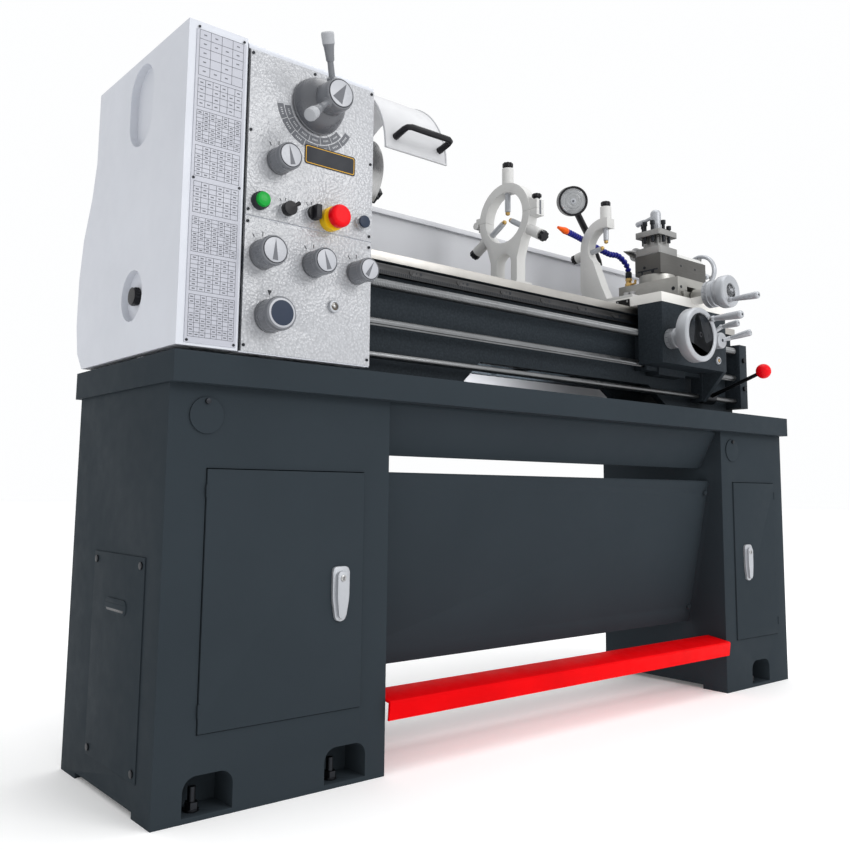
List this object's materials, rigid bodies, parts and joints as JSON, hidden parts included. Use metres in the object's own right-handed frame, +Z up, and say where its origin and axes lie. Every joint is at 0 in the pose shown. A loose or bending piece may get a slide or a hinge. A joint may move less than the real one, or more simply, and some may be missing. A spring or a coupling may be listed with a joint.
{
  "type": "metal lathe",
  "caption": "Geared-head centre lathe on two cabinets with chip tray, chuck guard, carriage, steady and follow rests, tailstock, coolant hose and work lamp.",
  "frame": {"origin": "bottom centre of the whole machine, on the floor", "axes": "+X along the bed from headstock to tailstock, -Y is the operator's side, +Z up"},
  "size_m": [1.815, 0.656, 1.3854],
  "materials": {
    "charcoal_paint": "satin",
    "white_paint": "satin",
    "hammered_silver": "hammered",
    "red_paint": "gloss",
    "bright_steel": "ground",
    "dark_steel": "turned",
    "zinc_steel": "plated",
    "grey_plastic": "satin",
    "black_plastic": "satin",
    "red_plastic": "gloss",
    "blue_plastic": "gloss",
    "belt_rubber": "matte",
    "motor_paint": "satin"
  },
  "bodies": {
    "frame": {"left_cabinet": "charcoal_paint", "right_cabinet": "charcoal_paint", "levelling_bolts": "zinc_steel", "cover_plates": "charcoal_paint", "chip_tray": "charcoal_paint", "cross_beam": "charcoal_paint", "modesty_panel": "charcoal_paint", "bed": "charcoal_paint", "headstock_casting": "white_paint", "front_panels": "hammered_silver", "rod_bracket": "charcoal_paint", "splash_guard": "white_paint", "main_motor": "motor_paint", "drive_belts": "belt_rubber", "electrical_cabinet": "white_paint", "steady_rest_base": "white_paint"},
    "left_door": {"left_door": "charcoal_paint"},
    "right_door": {"right_door": "charcoal_paint"},
    "brake_pedal": {"brake_pedal": "red_paint"},
    "end_cover": {"end_cover": "white_paint"},
    "speed_selector": {"speed_selector": "grey_plastic"},
    "range_knob": {"range_knob": "grey_plastic"},
    "gear_knob_left": {"gear_knob_left": "grey_plastic"},
    "gear_knob_middle": {"gear_knob_middle": "grey_plastic"},
    "gear_knob_right": {"gear_knob_right": "grey_plastic"},
    "tumbler_knob": {"tumbler_knob": "grey_plastic"},
    "lever_switch": {"lever_switch": "black_plastic"},
    "rotary_switch": {"rotary_switch": "black_plastic"},
    "estop_button": {"estop_button": "red_plastic"},
    "jog_button": {"jog_button": "black_plastic"},
    "spindle": {"spindle": "bright_steel", "chuck": "bright_steel"},
    "input_pulley": {"input_pulley": "dark_steel"},
    "lead_screw": {"lead_screw": "bright_steel"},
    "feed_rod": {"feed_rod": "bright_steel"},
    "control_rod": {"control_rod": "bright_steel"},
    "carriage": {"saddle": "white_paint", "apron": "charcoal_paint", "follow_rest": "white_paint", "coolant_hose": "blue_plastic"},
    "start_lever": {"start_lever": "dark_steel"},
    "apron_handwheel": {"apron_handwheel": "bright_steel"},
    "feed_lever": {"feed_lever": "dark_steel"},
    "half_nut_lever": {"half_nut_lever": "dark_steel"},
    "cross_slide": {"cross_slide": "bright_steel"},
    "cross_handwheel": {"cross_handwheel": "bright_steel"},
    "compound_base": {"compound_base": "bright_steel"},
    "compound_slide": {"compound_slide": "dark_steel"},
    "compound_handwheel": {"compound_handwheel": "dark_steel"},
    "toolpost": {"toolpost": "bright_steel"},
    "toolpost_handle": {"toolpost_handle": "dark_steel"},
    "steady_rest_cap": {"steady_rest_cap": "white_paint"},
    "steady_finger_top": {"steady_finger_top": "bright_steel"},
    "steady_finger_front": {"steady_finger_front": "bright_steel"},
    "steady_finger_rear": {"steady_finger_rear": "bright_steel"},
    "tailstock": {"tailstock_body": "white_paint"},
    "tailstock_quill": {"tailstock_quill": "bright_steel"},
    "tailstock_handwheel": {"tailstock_handwheel": "dark_steel"},
    "chuck_guard": {"chuck_guard": "white_paint"},
    "work_lamp": {"work_lamp": "black_plastic"}
  },
  "joints": [
    {"name": "left_door_hinge", "type": "hinge", "parent": "frame", "child": "left_door", "pos_m": [-0.835, -0.148, 0.326], "axis": [0, 0, 1], "range_deg": [-110, 0]},
    {"name": "right_door_hinge", "type": "hinge", "parent": "frame", "child": "right_door", "pos_m": [0.857, -0.148, 0.326], "axis": [0, 0, 1], "range_deg": [0, 110]},
    {"name": "brake_pedal_hinge", "type": "hinge", "parent": "frame", "child": "brake_pedal", "pos_m": [0.065, -0.034, 0.106], "axis": [1, 0, 0], "range_deg": [0, 12], "stiffness_Nm_per_rad": 80, "springref_deg": -34.38},
    {"name": "end_cover_hinge", "type": "hinge", "parent": "frame", "child": "end_cover", "pos_m": [-0.8, 0.286, 0.81], "axis": [0, 0, 1], "range_deg": [-100, 0]},
    {"name": "speed_selector_turn", "type": "hinge", "parent": "frame", "child": "speed_selector", "pos_m": [-0.665, -0.184, 1.16], "axis": [0, 1, 0], "continuous": true},
    {"name": "range_knob_turn", "type": "hinge", "parent": "frame", "child": "range_knob", "pos_m": [-0.738, -0.184, 1.043], "axis": [0, 1, 0], "range_deg": [-60, 60]},
    {"name": "gear_knob_left_turn", "type": "hinge", "parent": "frame", "child": "gear_knob_left", "pos_m": [-0.763, -0.184, 0.878], "axis": [0, 1, 0], "range_deg": [-90, 90]},
    {"name": "gear_knob_middle_turn", "type": "hinge", "parent": "frame", "child": "gear_knob_middle", "pos_m": [-0.664, -0.184, 0.878], "axis": [0, 1, 0], "range_deg": [-90, 90]},
    {"name": "gear_knob_right_turn", "type": "hinge", "parent": "frame", "child": "gear_knob_right", "pos_m": [-0.574, -0.184, 0.878], "axis": [0, 1, 0], "range_deg": [-90, 90]},
    {"name": "tumbler_knob_turn", "type": "hinge", "parent": "frame", "child": "tumbler_knob", "pos_m": [-0.747, -0.184, 0.777], "axis": [0, 1, 0], "range_deg": [-60, 60]},
    {"name": "lever_switch_turn", "type": "hinge", "parent": "frame", "child": "lever_switch", "pos_m": [-0.722, -0.179, 0.962], "axis": [0, 1, 0], "range_deg": [-40, 40]},
    {"name": "rotary_switch_turn", "type": "hinge", "parent": "frame", "child": "rotary_switch", "pos_m": [-0.67, -0.179, 0.966], "axis": [0, 1, 0], "range_deg": [-60, 60]},
    {"name": "estop_push", "type": "slide", "parent": "frame", "child": "estop_button", "axis": [0, 1, 0], "range_m": [0, 0.006], "stiffness_N_per_m": 800},
    {"name": "jog_push", "type": "slide", "parent": "frame", "child": "jog_button", "axis": [0, 1, 0], "range_m": [0, 0.003], "stiffness_N_per_m": 300},
    {"name": "spindle_turn", "type": "hinge", "parent": "frame", "child": "spindle", "pos_m": [-0.6, 0.046, 1.149], "axis": [1, 0, 0], "continuous": true},
    {"name": "input_pulley_turn", "type": "hinge", "parent": "frame", "child": "input_pulley", "pos_m": [-0.82, 0.086, 1.02], "axis": [1, 0, 0], "continuous": true},
    {"name": "lead_screw_turn", "type": "hinge", "parent": "frame", "child": "lead_screw", "pos_m": [0, -0.062, 0.899], "axis": [1, 0, 0], "continuous": true},
    {"name": "feed_rod_turn", "type": "hinge", "parent": "frame", "child": "feed_rod", "pos_m": [0, -0.062, 0.822], "axis": [1, 0, 0], "continuous": true},
    {"name": "control_rod_turn", "type": "hinge", "parent": "frame", "child": "control_rod", "pos_m": [0, -0.062, 0.756], "axis": [1, 0, 0], "range_deg": [-18, 18]},
    {"name": "carriage_travel", "type": "slide", "parent": "frame", "child": "carriage", "axis": [1, 0, 0], "range_m": [-0.2, 0.006]},
    {"name": "start_lever_turn", "type": "hinge", "parent": "carriage", "child": "start_lever", "pos_m": [0.68, -0.062, 0.756], "axis": [1, 0, 0], "range_deg": [-18, 18]},
    {"name": "apron_handwheel_turn", "type": "hinge", "parent": "carriage", "child": "apron_handwheel", "pos_m": [0.396, -0.184, 0.876], "axis": [0, 1, 0], "range_deg": [-3640, 120]},
    {"name": "feed_lever_turn", "type": "hinge", "parent": "carriage", "child": "feed_lever", "pos_m": [0.56, -0.154, 0.905], "axis": [0, 1, 0], "range_deg": [-25, 0]},
    {"name": "half_nut_lever_turn", "type": "hinge", "parent": "carriage", "child": "half_nut_lever", "pos_m": [0.596, -0.154, 0.893], "axis": [0, 1, 0], "range_deg": [0, 35]},
    {"name": "cross_slide_travel", "type": "slide", "parent": "carriage", "child": "cross_slide", "axis": [0, 1, 0], "range_m": [-0.035, 0.01]},
    {"name": "cross_handwheel_turn", "type": "hinge", "parent": "carriage", "child": "cross_handwheel", "pos_m": [0.51, -0.234, 0.998], "axis": [0, 1, 0], "range_deg": [-3200, 1100]},
    {"name": "compound_swivel", "type": "hinge", "parent": "cross_slide", "child": "compound_base", "pos_m": [0.508, -0.03, 1.058], "axis": [0, 0, 1], "range_deg": [-90, 0]},
    {"name": "compound_slide_travel", "type": "slide", "parent": "compound_base", "child": "compound_slide", "axis": [1, 0, 0], "range_m": [-0.03, 0.05]},
    {"name": "compound_handwheel_turn", "type": "hinge", "parent": "compound_slide", "child": "compound_handwheel", "pos_m": [0.69, -0.03, 1.098], "axis": [1, 0, 0], "range_deg": [-3650, 6050]},
    {"name": "toolpost_turn", "type": "hinge", "parent": "compound_slide", "child": "toolpost", "pos_m": [0.508, -0.03, 1.15], "axis": [0, 0, 1], "continuous": true},
    {"name": "toolpost_handle_turn", "type": "hinge", "parent": "compound_slide", "child": "toolpost_handle", "pos_m": [0.508, -0.03, 1.215], "axis": [0, 0, 1], "range_deg": [0, 60]},
    {"name": "steady_cap_hinge", "type": "hinge", "parent": "frame", "child": "steady_rest_cap", "pos_m": [0.021, 0.144, 1.15], "axis": [1, 0, 0], "range_deg": [-95, 0]},
    {"name": "steady_finger_top_slide", "type": "slide", "parent": "steady_rest_cap", "child": "steady_finger_top", "axis": [0, 0, 1], "range_m": [0, 0.03]},
    {"name": "steady_finger_rear_slide", "type": "slide", "parent": "frame", "child": "steady_finger_rear", "axis": [0, 0.866, -0.5], "range_m": [0, 0.03]},
    {"name": "steady_finger_front_slide", "type": "slide", "parent": "frame", "child": "steady_finger_front", "axis": [0, -0.866, -0.5], "range_m": [0, 0.03]},
    {"name": "tailstock_travel", "type": "slide", "parent": "frame", "child": "tailstock", "axis": [1, 0, 0], "range_m": [0, 0.045]},
    {"name": "quill_travel", "type": "slide", "parent": "tailstock", "child": "tailstock_quill", "axis": [1, 0, 0], "range_m": [-0.05, 0.018]},
    {"name": "tailstock_handwheel_turn", "type": "hinge", "parent": "tailstock", "child": "tailstock_handwheel", "pos_m": [0.829, 0.046, 1.149], "axis": [1, 0, 0], "range_deg": [-3640, 1310]},
    {"name": "chuck_guard_hinge", "type": "hinge", "parent": "frame", "child": "chuck_guard", "pos_m": [-0.5, 0.166, 1.198], "axis": [1, 0, 0], "range_deg": [-90, 0]},
    {"name": "work_lamp_swing", "type": "hinge", "parent": "frame", "child": "work_lamp", "pos_m": [0.646, 0.275, 1.16], "axis": [0, 0, 1], "range_deg": [-30, 30]}
  ],
  "couplings": [
    {"joint": "input_pulley_turn", "follows": "spindle_turn", "ratio": -1.5},
    {"joint": "lead_screw_turn", "follows": "spindle_turn", "ratio": 0.25},
    {"joint": "feed_rod_turn", "follows": "spindle_turn", "ratio": 0.125},
    {"joint": "start_lever_turn", "follows": "control_rod_turn", "ratio": 1},
    {"joint": "apron_handwheel_turn", "follows": "carriage_travel", "rad_per_m": 314.16},
    {"joint": "cross_handwheel_turn", "follows": "cross_slide_travel", "rad_per_m": 1570.8},
    {"joint": "compound_handwheel_turn", "follows": "compound_slide_travel", "rad_per_m": 2094.4},
    {"joint": "tailstock_handwheel_turn", "follows": "quill_travel", "rad_per_m": 1256.6}
  ]
}
